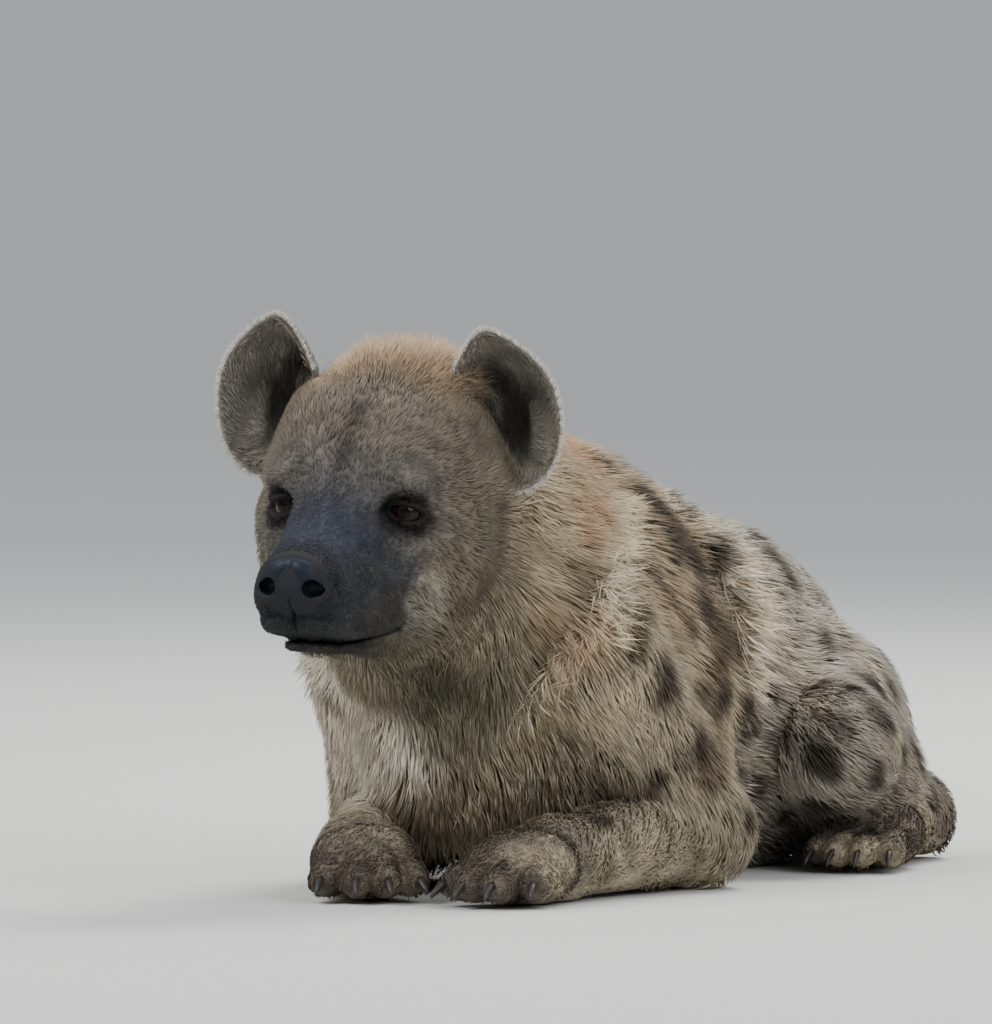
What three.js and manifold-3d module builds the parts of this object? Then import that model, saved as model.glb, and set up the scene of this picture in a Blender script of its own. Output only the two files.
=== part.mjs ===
// A spotted hyena lying on its chest with its head raised, life size. Millimetres, +Z up.
// The animal faces -Y, and its left side is +X.
import * as THREE from "three";
import { mergeVertices } from "three/addons/utils/BufferGeometryUtils.js";
import Module from "manifold-3d";

const wasm = await Module();
wasm.setup();

// Driving sizes of a small adult, measured over the coat
const trunkLength = 700;
const withersHeight = 320;
const chestWidth = 238;
const eyeSpan = 86; // between the middles of the eyeballs
const eyeRadius = 13.5;
const gap = 0.3; // kept between pieces that touch

const v3 = (p) => new THREE.Vector3(...p);
const mirrored = ([x, y, z]) => [-x, y, z];
const sides = { left: 1, right: -1 };

// Soft shapes. Each gives the distance from a point to its surface, negative inside.
const ball = ([cx, cy, cz], [rx, ry, rz], pitch = 0) => {
  const c = Math.cos(pitch), s = Math.sin(pitch);
  return (x, y, z) => {
    const dy = y - cy, dz = z - cz;
    const px = (x - cx) / rx, py = (dy * c + dz * s) / ry, pz = (dz * c - dy * s) / rz;
    const reach = Math.hypot(px, py, pz), slope = Math.hypot(px / rx, py / ry, pz / rz);
    return slope < 1e-6 ? -Math.min(rx, ry, rz) : (reach * (reach - 1)) / slope;
  };
};
const limb = ([ax, ay, az], ra, [bx, by, bz], rb) => {
  const ux = bx - ax, uy = by - ay, uz = bz - az, uu = ux * ux + uy * uy + uz * uz;
  return (x, y, z) => {
    const px = x - ax, py = y - ay, pz = z - az;
    const h = Math.min(1, Math.max(0, (px * ux + py * uy + pz * uz) / uu));
    return Math.hypot(px - h * ux, py - h * uy, pz - h * uz) - ra - h * (rb - ra);
  };
};
const soften = (a, b, k) => {
  const h = Math.max(k - Math.abs(a - b), 0) / k;
  return Math.min(a, b) - (h * h * k) / 4;
};
const blend = (k, ...fields) => (x, y, z) => fields.reduce((d, f) => soften(d, f(x, y, z), k), 1e3);
const hollow = (k, field, tool) => (x, y, z) => -soften(-field(x, y, z), tool(x, y, z), k);
const bothSides = (field) => (x, y, z) => field(Math.abs(x), y, z);
const seenFrom = (matrix, field) => {
  const e = matrix.elements;
  return (x, y, z) => field(
    e[0] * x + e[4] * y + e[8] * z + e[12],
    e[1] * x + e[5] * y + e[9] * z + e[13],
    e[2] * x + e[6] * y + e[10] * z + e[14],
  );
};

// Trunk, from the breast to the croup
const ribHeight = 0.5 * withersHeight;
const ribs = ball([0, 0.27 * trunkLength, ribHeight - 10], [0.49 * chestWidth, 218, ribHeight]);
const loin = ball([0, 0.55 * trunkLength, 128], [112, 180, 146]);
const croup = ball([0, 0.69 * trunkLength, 100], [106, 126, 106], -0.5);
const breast = ball([0, 28, 114], [92, 98, 100]);
const trunk = blend(36, ribs, loin, croup, breast);

// Neck, deep and heavy, with the nape above and the throat below
const neckBase = limb([0, 110, 212], 108, [-6, 0, 246], 99);
const neckTop = limb([-6, 0, 246], 99, [-18, -95, 290], 82);
const nape = limb([0, 160, 280], 40, [-14, -66, 340], 36);
const throat = limb([-2, 0, 184], 90, [-14, -98, 236], 72);
const neckFlesh = blend(30, neckBase, neckTop, nape, throat);

// A foot: four toes that fan out from the last joint, the middle two longest
const toeSpread = 22;
const foot = (joint, tips, size) => {
  const from = v3(joint), to = v3(tips);
  const along = to.clone().sub(from).setZ(0).normalize();
  const side = new THREE.Vector3(0, 0, 1).cross(along);
  const toes = [-1.5, -0.5, 0.5, 1.5].map((place) => {
    const root = from.clone().addScaledVector(side, place * 12 * size);
    const tip = to.clone().addScaledVector(side, place * toeSpread * size);
    tip.addScaledVector(along, Math.abs(place) > 1 ? -17 * size : 0);
    return { root, tip, along: tip.clone().sub(root).setZ(0).normalize() };
  });
  const flesh = toes.map(({ root, tip, along: way }) => blend(6,
    limb([root.x, root.y, root.z + 5], 22 * size, [tip.x, tip.y, tip.z + 3], 13 * size),
    ball([tip.x - 8 * way.x, tip.y - 8 * way.y, tip.z + 1], [13.5 * size, 16 * size, 13 * size])));
  return { toes, size, flesh: blend(5, ...flesh) };
};

// Forelegs, folded at the elbow with the forearm along the ground. The right one turns in.
const forelegs = {
  left: { shoulder: [96, 4, 180], elbow: [122, 128, 42], wrist: [103, -80, 29], toes: [98, -186, 14] },
  right: { shoulder: [-78, 6, 172], elbow: [-118, 124, 42], wrist: [-52, -78, 29], toes: [-2, -166, 14] },
};
const scapula = bothSides(limb([56, 150, 248], 42, [86, 8, 184], 46));
const triceps = bothSides(ball([98, 130, 142], [46, 90, 90]));

// Hind legs, folded beside the belly with the whole foot on the ground
const hindleg = {
  hip: [60, 478, 112], knee: [134, 366, 96], hock: [116, 566, 34],
  joint: [146, 430, 23], toes: [156, 344, 13],
};
const hindlegs = {
  left: hindleg,
  right: Object.fromEntries(Object.entries(hindleg).map(([name, p]) => [name, mirrored(p)])),
};
const thighMuscle = bothSides(ball([92, 468, 96], [50, 98, 80], -0.12));

const feet = {}, legFlesh = [];
for (const side in sides) {
  const { shoulder, elbow, wrist, toes } = forelegs[side];
  const knuckles = wrist.map((v, i) => v + (toes[i] - v) * 0.4);
  feet["fore_" + side] = foot(knuckles, toes, 1);
  legFlesh.push(blend(22, limb(shoulder, 50, elbow, 44), limb(elbow, 42, wrist, 31),
    limb(wrist, 30, knuckles, 28), feet["fore_" + side].flesh));
  const { hip, knee, hock, joint, toes: hindToes } = hindlegs[side];
  feet["hind_" + side] = foot(joint, hindToes, 0.88);
  const heel = [hock[0], hock[1] + 20, hock[2] - 14];
  legFlesh.push(blend(20, limb(hip, 62, knee, 48), limb(knee, 46, hock, 27), limb(hock, 25, heel, 20),
    limb(hock, 29, joint, 25), feet["hind_" + side].flesh));
}

// Tail, laid on the ground round the right hip, and the core of the brush at its end
const tailPath = [[0, 590, 92], [-24, 650, 52], [-66, 684, 26], [-124, 684, 20], [-172, 652, 18]];
const tailRadii = [34, 25, 20, 18, 18];
const tailFlesh = blend(10, ...tailPath.slice(1).map((p, i) =>
  limb(tailPath[i], tailRadii[i], p, tailRadii[i + 1])));
const brushPath = [tailPath.at(-1), [-204, 604, 16], [-222, 536, 10]];
const brush = blend(8, limb(brushPath[0], 18, brushPath[1], 21), limb(brushPath[1], 21, brushPath[2], 8));

// Head. Its own frame has its origin midway between the eyes, and faces -Y.
const headPlace = new THREE.Matrix4().compose(
  v3([-9.5, -193.5, 291]),
  new THREE.Quaternion().setFromEuler(new THREE.Euler(0, 0.047, 0.105, "ZYX")),
  v3([1, 1, 1]),
);
const eyeCentre = [eyeSpan / 2, 9, -2];
const braincase = ball([0, 80, 26], [79, 94, 70]);
const forehead = ball([0, 26, 8], [60, 58, 40]);
const cheek = bothSides(ball([50, 70, -32], [38, 56, 52]));
const cheekbone = bothSides(limb([48, 12, -22], 18, [68, 62, -12], 20));
const brow = bothSides(ball([37, 6, 18], [25, 22, 13]));
const bridge = limb([0, 6, -12], 41, [0, -84, -53], 27);
const lips = bothSides(ball([17, -64, -64], [21, 46, 26]));
const lipCorner = bothSides(limb([24, -40, -70], 20, [33, 4, -76], 16));
const nosePad = ball([0, -99, -52], [28, 17, 22]);
const earRoot = bothSides(limb([50, 84, 62], 24, [82, 100, 16], 15));
const socket = bothSides(ball([eyeCentre[0] + 6, -12, -3], [18, 17, 12]));
const jawRear = limb([28, 52, -78], 32, [22, 10, -86], 24);
const chin = limb([18, 14, -88], 20, [8, -76, -89], 15);
const jaw = bothSides(blend(14, jawRear, chin));
const skull = blend(26, braincase, forehead, cheek, earRoot);
const upperHead = hollow(9, blend(15, skull, cheekbone, brow, bridge, lips, lipCorner), socket);
const wholeHead = blend(5, blend(10, upperHead, jaw), nosePad);

// The whole skin, also as the head's frame sees it
const chestHollow = ball([24, -98, 122], [40, 42, 50]); // between the shoulders, below the throat
const legsAndTrunk = hollow(24, blend(24, blend(40, trunk, neckFlesh), scapula, triceps, thighMuscle,
  ...legFlesh), chestHollow);
const animal = blend(24, blend(14, legsAndTrunk, tailFlesh), seenFrom(headPlace.clone().invert(), wholeHead));
const animalFromHead = seenFrom(headPlace, animal);

// Solids from three.js shapes
function solid(geometry, matrix = new THREE.Matrix4()) {
  const bare = geometry.clone().applyMatrix4(matrix);
  for (const name of Object.keys(bare.attributes)) if (name !== "position") bare.deleteAttribute(name);
  const merged = mergeVertices(bare, 1e-4);
  return new wasm.Manifold(new wasm.Mesh({
    numProp: 3,
    vertProperties: new Float32Array(merged.attributes.position.array),
    triVerts: new Uint32Array(merged.index.array),
  }));
}
const largest = (made) => made.decompose().reduce((a, b) => (b.volume() > a.volume() ? b : a));
const ringAlong = (points, thick) => solid(new THREE.ExtrudeGeometry(
  new THREE.Shape().absellipse(0, 0, thick, thick, 0, 2 * Math.PI),
  { steps: points.length, curveSegments: 3, extrudePath: new THREE.CatmullRomCurve3(points, true) }));

// Cells that part the skin. Each is a function of how far it is grown.
const box = (lo, hi, matrix) => (grow) => {
  const shape = new THREE.BoxGeometry(...lo.map((v, i) => hi[i] - v + 2 * grow));
  return solid(shape.translate(...lo.map((v, i) => (v + hi[i]) / 2)), matrix);
};
const egg = (centre, radii, matrix, turns = 16) => (grow) => {
  const shape = new THREE.SphereGeometry(1, turns, turns / 2);
  return solid(shape.scale(...radii.map((r) => r + grow)).translate(...centre), matrix);
};
const lengthwise = (from, to) => new THREE.Matrix4()
  .makeRotationZ(Math.atan2(from[0] - to[0], to[1] - from[1])).setPosition(from[0], from[1], 0);
const floor = box([-900, -900, -400], [900, 1200, 0])(0);

// Ear, in a frame at its foot: X across, Y to the rear, Z up its length. It is a cup cut from two eggs.
// The left one leans in over the crown.
const earSize = { halfWidth: 41, height: 122, depth: 37, thick: 4.5 };
const earLean = (side) => (side > 0 ? 0.13 : 0);
const earPlace = (() => {
  const up = v3([-0.139, -0.123, 0.983]), across = v3([0.977, 0.142, 0.157]);
  const rear = up.clone().cross(across).normalize();
  return new THREE.Matrix4().makeBasis(across, rear, up).setPosition(104, 95, 15);
})();
function earSolid(side, grow, filled) {
  const { halfWidth, height, depth, thick } = earSize, forward = 13;
  const turn = new THREE.Matrix4().makeRotationX(0.13).setPosition(0, -forward, height / 2);
  const outer = egg([0, 0, 0], [halfWidth + 2.5, depth + forward + thick, height / 2 + 2.5], turn)(grow);
  const inner = egg([0, 0, 0], [halfWidth, depth + forward, height / 2], turn)(-grow);
  const half = box([-90, -grow, -60], [90, 120, 200])(0);
  let cup = outer.intersect(half);
  if (!filled) cup = cup.subtract(inner);
  cup = cup.transform(earPlace.clone().multiply(new THREE.Matrix4().makeRotationY(-earLean(side))).elements);
  if (side < 0) cup = cup.mirror([1, 0, 0]);
  return cup.transform(headPlace.elements);
}

// Eye, and the lids that ring its almond opening
const eyePlace = (side) => v3([side * eyeCentre[0], eyeCentre[1], eyeCentre[2]]).applyMatrix4(headPlace);
function eyeball(side, grow) {
  const shape = new THREE.IcosahedronGeometry(eyeRadius + grow, 2);
  return solid(shape.translate(...eyePlace(side).toArray()));
}
function lids(side) {
  const opening = { halfWidth: 0.98, above: 0.5, below: 0.42 }; // angles seen from the eyeball's middle
  const look = 0.42, slant = 0.16, count = 16;
  const points = Array.from({ length: count }, (_, i) => {
    const t = (i / count) * 2 * Math.PI;
    const across = opening.halfWidth * Math.cos(t);
    const high = Math.sin(t) * (Math.sin(t) > 0 ? opening.above : opening.below) - slant * across;
    const turn = look + across;
    const way = v3([Math.sin(turn) * Math.cos(high), -Math.cos(turn) * Math.cos(high), Math.sin(high)]);
    return way.multiplyScalar(eyeRadius + 2.2).add(v3(eyeCentre)).multiply(v3([side, 1, 1]));
  });
  return ringAlong(points.map((p) => p.applyMatrix4(headPlace)), 3.2);
}

// Nostrils: a round hole with a slit that runs out and up from it
function nostril(side) {
  const hole = egg([side * 13.5, -112, -58], [6, 9, 6.5], headPlace, 10)(0);
  const slit = egg([0, 0, 0], [9, 7, 3], headPlace.clone().multiply(
    new THREE.Matrix4().makeRotationY(-side * 0.4).setPosition(side * 20, -107, -56)), 8)(0);
  return hole.add(slit);
}

// Claws, blunt and always out
function claws(feetOf) {
  const shape = new THREE.CylinderGeometry(1.8, 5, 15, 6);
  return feetOf.toes.map(({ tip, along }) => {
    const root = tip.clone().addScaledVector(along, 12 * feetOf.size).setZ(tip.z);
    const way = along.clone().setZ(-0.42).normalize();
    const turn = new THREE.Quaternion().setFromUnitVectors(new THREE.Vector3(0, 1, 0), way);
    return solid(shape, new THREE.Matrix4().compose(root, turn, v3([1, 1, 1])));
  });
}

// Where the skin is parted into nodes, in the order in which they are taken from it
const cells = [];
for (const [side, s] of Object.entries(sides)) {
  const fore = forelegs[side], hind = hindlegs[side];
  const paw = lengthwise(fore.wrist, fore.toes), arm = lengthwise(fore.wrist, fore.elbow);
  const sole = lengthwise(hind.joint, hind.toes), shank = lengthwise(hind.joint, hind.hock);
  cells.push(
    { name: "forepaw_" + side, size: 14, shape: box([-60, 8, -20], [60, 170, 76], paw),
      extras: claws(feet["fore_" + side]) },
    { name: "forearm_" + side, size: 22, shape: box([-50, -20, -20], [50, 262, 80], arm) },
    { name: "hindpaw_" + side, size: 13, shape: box([-52, 6, -20], [52, 150, 54], sole),
      extras: claws(feet["hind_" + side]) },
    { name: "hindfoot_" + side, size: 20, shape: box([-34, -12, -20], [38, 200, 56], shank) },
    { name: "thigh_" + side, size: 30, shape: egg([s * 146, 440, 96], [72, 146, 114]) },
    { name: "shoulder_" + side, size: 30, shape: egg([s * 142, 108, 170], [64, 128, 124]) },
  );
}
const tailCell = box([-190, 616, -20], [70, 800, 160]);
const headTurned = (angle) => headPlace.clone().multiply(new THREE.Matrix4().makeRotationX(angle));
cells.push(
  { name: "lower_jaw", size: 12, shape: box([-70, -130, -160], [70, 20, -89], headTurned(0.07)), head: true },
  { name: "nose", size: 8, shape: box([-40, -140, -75], [40, -101, 0], headPlace), head: true },
  { name: "muzzle", size: 13, shape: box([-80, -160, -140], [80, -22, 40], headPlace), head: true },
  { name: "head", size: 18, shape: box([-150, -110, -112], [150, 89, 170], headTurned(-0.361)), head: true,
    extras: [lids(1), lids(-1)] },
  { name: "tail", size: 17, shape: tailCell, field: tailFlesh },
  { name: "neck", size: 34, shape: box([-200, -260, 78], [200, 66, 460]), head: true },
  { name: "rump", size: 36, shape: box([-220, 424, -20], [220, 720, 320]) },
  { name: "torso", size: 40, shape: box([-220, -140, -20], [220, 424, 460]) },
);

// Finished solids by node, with their looks
const nodes = new Map();
const coat = { color: 0x9c8468, roughness: 0.9, metalness: 0 };
const put = (name, made, look) => nodes.set(name, { made: largest(made).simplify(0.2), look });

function meshOf(name, made, look) {
  const mesh = made.getMesh();
  const geometry = new THREE.BufferGeometry();
  geometry.setAttribute("position", new THREE.BufferAttribute(new Float32Array(mesh.vertProperties), 3));
  geometry.setIndex(new THREE.BufferAttribute(new Uint32Array(mesh.triVerts), 1));
  const node = new THREE.Mesh(geometry, new THREE.MeshStandardMaterial(look));
  node.name = name;
  return node;
}

const skinOf = (field, cell, size) => {
  const { min, max } = cell.boundingBox(), pad = 2 * size;
  const bounds = { min: Array.from(min, (v) => v - pad), max: Array.from(max, (v) => v + pad) };
  return wasm.Manifold.levelSet(([x, y, z]) => -field(x, y, z), bounds, size).simplify(0.075 * size);
};
const headTools = Object.values(sides).flatMap((s) => [earSolid(s, gap, true), eyeball(s, gap), nostril(s)]);
const taken = [floor];
for (const { name, size, shape, head, extras = [], field = animal } of cells) {
  const cell = shape(0);
  let made = skinOf(field, cell, size).intersect(cell);
  for (const extra of extras) made = made.add(extra);
  for (const other of head ? [...taken, ...headTools] : taken) made = made.subtract(other);
  put(name, made, coat);
  taken.push(shape(gap));
}
for (const [side, s] of Object.entries(sides)) {
  put("ear_" + side, earSolid(s, 0, false), coat);
  put("eye_" + side, eyeball(s, 0), { color: 0x1c1008, roughness: 0.1, metalness: 0 });
}
const brushCell = box([-300, 480, -40], [-120, 700, 70])(0);
put("tail_brush", skinOf(brush, brushCell, 14).subtract(floor).subtract(tailCell(gap)), coat);

// Locks: flat, tapered blades of long hair. Each follows the skin along its lie and bends away to its
// tip. Rings give the share of the length, of the width, and of the lift above the skin.
const lockRings = [[0, 0.75, 0], [0.32, 1, 0.15], [0.72, 0.72, 0.68], [1, 0.06, 1]];
const lockThick = 5.5, lockSunk = 8;
let drawn = 7;
const vary = (share) => {
  drawn = (drawn * 16807) % 2147483647;
  return 1 + share * ((2 * drawn) / 2147483647 - 1);
};
const slopeOf = (field, p) => v3([0, 1, 2].map((axis) => {
  const step = v3([0, 0, 0]).setComponent(axis, 3);
  return field(...p.clone().add(step)) - field(...p.clone().sub(step));
})).normalize();
function skinFrom(field, from, way) {
  const at = from.clone();
  for (let step = 0; step < 90 && field(...at) < -0.5; step++)
    at.addScaledVector(way, Math.max(1.5, -0.8 * field(...at)));
  return at;
}
function lock(field, root, lie, { length, width, lift }) {
  const at = root.clone(), corners = [];
  lockRings.forEach(([along, wide, high], i) => {
    const out = slopeOf(field, at), on = lie.clone().addScaledVector(out, -lie.dot(out)).normalize();
    at.addScaledVector(on, i ? (along - lockRings[i - 1][0]) * length : 0);
    at.addScaledVector(out, -field(...at));
    const middle = at.clone().addScaledVector(out, i ? high * lift : -lockSunk);
    const side = out.clone().cross(on).setLength((wide * width) / 2);
    const ridge = middle.clone().addScaledVector(out, lockThick * Math.sqrt(wide));
    corners.push(middle.clone().sub(side), middle.clone().add(side), ridge);
  });
  const faces = [0, 2, 1], last = corners.length - 3;
  for (let k = 0; k < last; k += 3)
    for (let c = 0; c < 3; c++) {
      const a = k + c, b = k + ((c + 1) % 3);
      faces.push(a, b, b + 3, a, b + 3, a + 3);
    }
  faces.push(last, last + 1, last + 2);
  return new wasm.Manifold(new wasm.Mesh({
    numProp: 3,
    vertProperties: new Float32Array(corners.flatMap((p) => p.toArray())),
    triVerts: new Uint32Array(faces),
  }));
}

// A lock is fused to the node that holds its root, and is left out where it would touch another node
const grown = new Map(Array.from(nodes, ([name, { made }]) => [name, [made]]));
const near = (a, b) => {
  const p = a.boundingBox(), q = b.boundingBox();
  return p.min.every((v, i) => v < q.max[i] + 1 && q.min[i] < p.max[i] + 1);
};
function plant(field, root, lie, size) {
  const made = lock(field, root, lie, size), out = slopeOf(field, root);
  const seat = wasm.Manifold.sphere(2, 6).translate(root.clone().addScaledVector(out, -lockSunk).toArray());
  const host = Array.from(grown.keys()).find((name) =>
    near(seat, grown.get(name)[0]) && seat.subtract(grown.get(name)[0]).isEmpty());
  const clear = made.boundingBox().min[2] > gap && Array.from(grown).every(([name, solids]) =>
    name === host || solids.every((other) => !near(made, other) || made.minGap(other, 1) > gap));
  if (host && clear) grown.get(host).push(made);
}

// Mane: rows down the neck and over the withers, thinning out to a crest along the back. Each row
// reaches so far round from the top, in radians.
const spine = new THREE.CatmullRomCurve3([[-14, -92, 282], [-6, 0, 240], [0, 110, 190], [0, 240, 160],
  [0, 400, 130]].map(v3));
const maneGirth = 112, maneSpacing = 54;
const maneRows = [
  { reach: 1.9, length: 78, lift: 16 }, { reach: 2.0, length: 84, lift: 17 },
  { reach: 1.95, length: 90, lift: 18 }, { reach: 1.8, length: 96, lift: 19 },
  { reach: 1.35, length: 98, lift: 18 }, { reach: 1.0, length: 92, lift: 15 },
  { reach: 0.6, length: 84, lift: 13 }, { reach: 0.4, length: 78, lift: 12 },
];
maneRows.forEach(({ reach, length, lift }, row) => {
  const from = spine.getPointAt((row + 0.5) / maneRows.length);
  const count = Math.max(3, Math.round((2 * reach * maneGirth) / maneSpacing));
  for (let i = 0; i < count; i++) {
    const stagger = row % 2 ? 0.5 : 0;
    const angle = reach * ((2 * (i + stagger + 0.12 * vary(1))) / count - 1);
    if (Math.abs(angle) > reach) continue;
    const root = skinFrom(animal, from, v3([Math.sin(angle), 0, Math.cos(angle)]));
    const lie = v3([0.2 * Math.sin(angle), 1, -0.85 * Math.abs(Math.sin(angle))]);
    const size = { length: length * vary(0.15), width: 48 * vary(0.15), lift: lift * vary(0.3) };
    plant(animal, root, lie, size);
  }
});

// Ruff below the throat and down the breast, in two rows
const ruffTurn = 1.15, ruffMiddle = v3([-10, -20, 200]);
const ruffRows = [{ low: 0.35, length: 74, count: 6 }, { low: 0.8, length: 66, count: 5 }];
for (const { low, length, count } of ruffRows)
  for (let i = 0; i < count; i++) {
    const turn = ruffTurn * ((2 * (i + 0.5)) / count - 1) * vary(0.1);
    const way = v3([Math.sin(turn) * Math.cos(low), -Math.cos(turn) * Math.cos(low), -Math.sin(low)]);
    const lie = v3([0.3 * Math.sin(turn), 0.4, -1]);
    const size = { length: length * vary(0.15), width: 44, lift: 13 };
    plant(animal, skinFrom(animal, ruffMiddle, way), lie, size);
  }

// Crown: three rows of short locks that stand between the ears
const crownLie = v3([0, 1, 0.1]).transformDirection(headPlace);
for (let i = 0; i < 9; i++) {
  const turn = 0.42 * ((i % 3) - 1) * vary(0.2), tilt = -0.15 + 0.42 * Math.floor(i / 3);
  const way = v3([Math.sin(turn), Math.sin(tilt), Math.cos(tilt)]).transformDirection(headPlace);
  const root = skinFrom(animal, v3([0, 60, 20]).applyMatrix4(headPlace), way);
  plant(animal, root, crownLie, { length: 44 * vary(0.15), width: 26, lift: 24 * vary(0.15) });
}

// Brush: rings of locks round the end of the tail, along to its tip
const brushLine = new THREE.CatmullRomCurve3(brushPath.map(v3)), brushLie = brushLine.getTangentAt(0.5);
const brushSide = brushLie.clone().cross(v3([0, 0, 1])).normalize();
for (let ring = 0; ring < 3; ring++)
  for (let i = 0; i < 3; i++) {
    const turn = 1.2 * (i - 1 + (ring % 2 ? 0.3 : 0)) * vary(0.1);
    const way = brushSide.clone().multiplyScalar(Math.sin(turn)).add(v3([0, 0, Math.cos(turn)]));
    const root = skinFrom(brush, brushLine.getPointAt(0.14 + 0.26 * ring), way);
    plant(brush, root, brushLie, { length: 70 * vary(0.15), width: 24, lift: 16 * vary(0.2) });
  }

for (const [name, [, ...locks]] of grown) {
  const { made, look } = nodes.get(name);
  if (locks.length) put(name, wasm.Manifold.union([made, ...locks]), look);
}

// The part's frame: the middle of its floor box, with the floor at zero
const reach = new THREE.Box3();
for (const { made } of nodes.values()) {
  const { min, max } = made.boundingBox();
  reach.union(new THREE.Box3(v3(min), v3(max)));
}
const middle = reach.getCenter(new THREE.Vector3()).setZ(0);
const group = new THREE.Group();
for (const [name, { made, look }] of nodes)
  group.add(meshOf(name, made.translate(middle.clone().negate().toArray()), look));

export default group;
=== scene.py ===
import math

import bpy
import bmesh
import numpy as np
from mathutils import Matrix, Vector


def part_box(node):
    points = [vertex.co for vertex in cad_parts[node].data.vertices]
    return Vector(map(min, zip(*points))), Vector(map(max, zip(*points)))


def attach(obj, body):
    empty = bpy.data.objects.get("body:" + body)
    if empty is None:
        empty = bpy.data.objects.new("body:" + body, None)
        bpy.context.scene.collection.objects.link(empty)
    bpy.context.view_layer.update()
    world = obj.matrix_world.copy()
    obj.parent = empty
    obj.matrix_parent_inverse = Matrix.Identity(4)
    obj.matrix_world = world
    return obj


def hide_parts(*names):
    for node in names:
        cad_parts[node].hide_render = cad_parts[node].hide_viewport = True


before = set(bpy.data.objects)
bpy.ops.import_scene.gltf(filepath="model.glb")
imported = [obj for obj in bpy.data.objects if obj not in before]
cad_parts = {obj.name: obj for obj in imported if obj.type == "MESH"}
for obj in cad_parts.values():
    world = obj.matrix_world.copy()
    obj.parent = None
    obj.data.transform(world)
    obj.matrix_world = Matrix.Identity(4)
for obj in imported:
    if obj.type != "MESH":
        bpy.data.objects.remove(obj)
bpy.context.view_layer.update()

import openvdb
from mathutils import Matrix, Vector, kdtree

# Skin: the hyena's hide over its flesh, which is drawn as soft shapes that melt into each other.
# Sizes are in millimetres in the animal's own frame, which faces -Y with its left side at +X and
# the ground at zero. A shape gives the distance from points to its surface, negative inside.
trunk_length, withers_height, chest_width = 700, 320, 238


def ball(middle, radii, pitch=0.0):
    c, s = math.cos(pitch), math.sin(pitch)

    def distance(x, y, z):
        dy, dz = y - middle[1], z - middle[2]
        px, py, pz = (x - middle[0]) / radii[0], (dy * c + dz * s) / radii[1], (dz * c - dy * s) / radii[2]
        reach = np.sqrt(px * px + py * py + pz * pz) + 1e-9
        slope = np.sqrt((px / radii[0]) ** 2 + (py / radii[1]) ** 2 + (pz / radii[2]) ** 2) + 1e-9
        return reach * (reach - 1) / slope
    return distance


def limb(a, ra, b, rb):
    u = [q - p for p, q in zip(a, b)]
    uu = sum(v * v for v in u)

    def distance(x, y, z):
        px, py, pz = x - a[0], y - a[1], z - a[2]
        h = np.clip((px * u[0] + py * u[1] + pz * u[2]) / uu, 0, 1)
        away = np.sqrt((px - h * u[0]) ** 2 + (py - h * u[1]) ** 2 + (pz - h * u[2]) ** 2)
        return away - ra - h * (rb - ra)
    return distance


def soften(a, b, k):
    h = np.maximum(k - abs(a - b), 0) / k
    return np.minimum(a, b) - h * h * k / 4


def melt(k, *distances):
    total = distances[0]
    for d in distances[1:]:
        total = soften(total, d, k)
    return total


def hollow(k, flesh, tool):
    return -soften(-flesh, tool, k)


def both_sides(shape):
    return lambda x, y, z: shape(abs(x), y, z)


def rope(radius, *path):
    links = [limb(a, radius, b, radius) for a, b in zip(path, path[1:])]
    return lambda x, y, z: np.min([link(x, y, z) for link in links], axis=0)


def foot(joint, tips, size):
    """Four toes that fan out from the last joint, as root, tip and way, and the foot's shape."""
    way = Vector((tips[0] - joint[0], tips[1] - joint[1], 0)).normalized()
    side = Vector((0, 0, 1)).cross(way)
    toes = []
    for place in (-1.5, -0.5, 0.5, 1.5):
        root = Vector(joint) + side * place * 12 * size
        tip = Vector(tips) + side * place * 22 * size + way * (-17 * size if abs(place) > 1 else 0)
        toes.append((root, tip, Vector((*(tip - root).xy, 0)).normalized()))

    def distance(x, y, z):
        flesh = []
        for root, tip, along in toes:
            toe = limb((root.x, root.y, root.z + 5), 22 * size, (tip.x, tip.y, tip.z + 3), 12 * size)
            pad = ball((tip.x - 8 * along.x, tip.y - 8 * along.y, tip.z + 1),
                       (12.3 * size, 16 * size, 13 * size))
            flesh.append(soften(toe(x, y, z), pad(x, y, z), 5))
        return melt(2, *flesh)
    return toes, distance


hind = dict(hip=(60, 478, 112), knee=(134, 366, 96), hock=(116, 566, 34), heel=(116, 586, 20),
            joint=(146, 430, 23), hind_toes=(156, 344, 13))
legs = {
    "left": dict(hind,
                 shoulder=(96, 4, 180), elbow=(122, 128, 42), wrist=(103, -80, 29), toes=(98, -186, 14)),
    "right": dict({name: (-x, y, z) for name, (x, y, z) in hind.items()},
                  shoulder=(-78, 6, 172), elbow=(-118, 124, 42), wrist=(-52, -78, 29), toes=(-2, -166, 14)),
}
leg_limbs = {
    "upper_arm": ("shoulder", 50, "elbow", 44), "forearm": ("elbow", 42, "wrist", 31),
    "wrist": ("wrist", 30, "knuckles", 28), "femur": ("hip", 62, "knee", 48),
    "shank": ("knee", 46, "hock", 27), "heel": ("hock", 25, "heel", 20), "sole": ("hock", 29, "joint", 25),
}
rib_height = 0.5 * withers_height
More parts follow.
